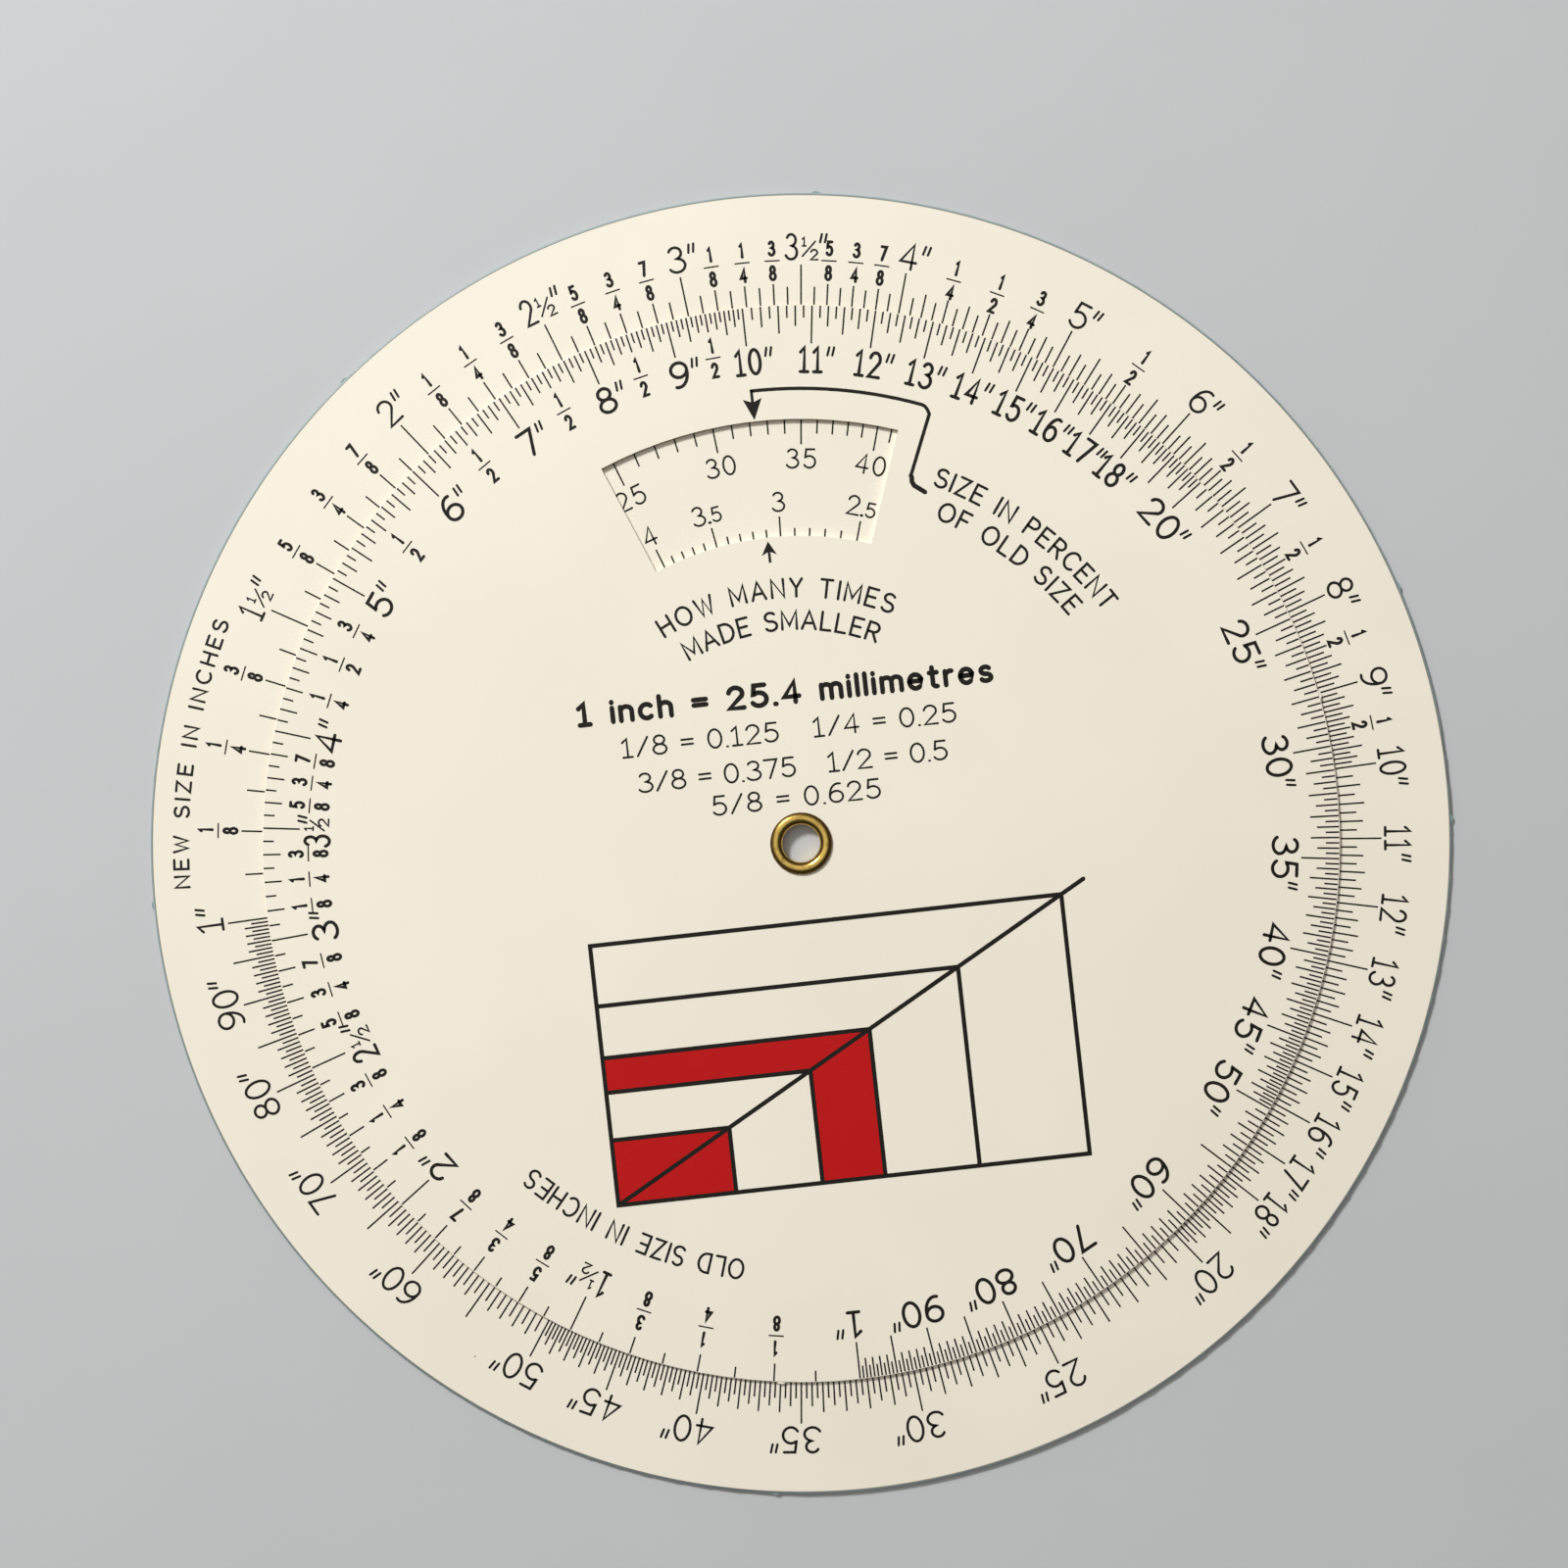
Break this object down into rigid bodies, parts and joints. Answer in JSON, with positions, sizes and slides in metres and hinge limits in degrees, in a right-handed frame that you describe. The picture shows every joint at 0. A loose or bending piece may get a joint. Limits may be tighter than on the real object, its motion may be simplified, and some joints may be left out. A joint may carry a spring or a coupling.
{
  "type": "proportional scale wheel",
  "caption": "Proportional scale wheel: a printed top disc with a sector window turns on a larger printed base disc about a brass eyelet, and reads size ratios and percentages.",
  "frame": {"origin": "on the eyelet's axis, in the plane that the wheel lies on", "axes": "+Z out of the printed face, +Y up the pictured face, +X to its right"},
  "size_m": [0.1652, 0.1655, 0.0019],
  "materials": {
    "base_sheet": "satin",
    "top_sheet": "satin",
    "brass": "worn polish",
    "ink": "matt"
  },
  "bodies": {
    "base": {"base_disc": "base_sheet", "eyelet": "brass", "outer_scale_marks": "ink", "percent_scale_marks": "ink", "reduction_scale_marks": "ink"},
    "top": {"top_disc": "top_sheet", "inner_scale_marks": "ink", "index_arrows": "ink"}
  },
  "joints": [
    {"name": "top_turn", "type": "hinge", "parent": "base", "child": "top", "pos_m": [0, 0, 0.00106], "axis": [0, 0, 1], "continuous": true}
  ]
}
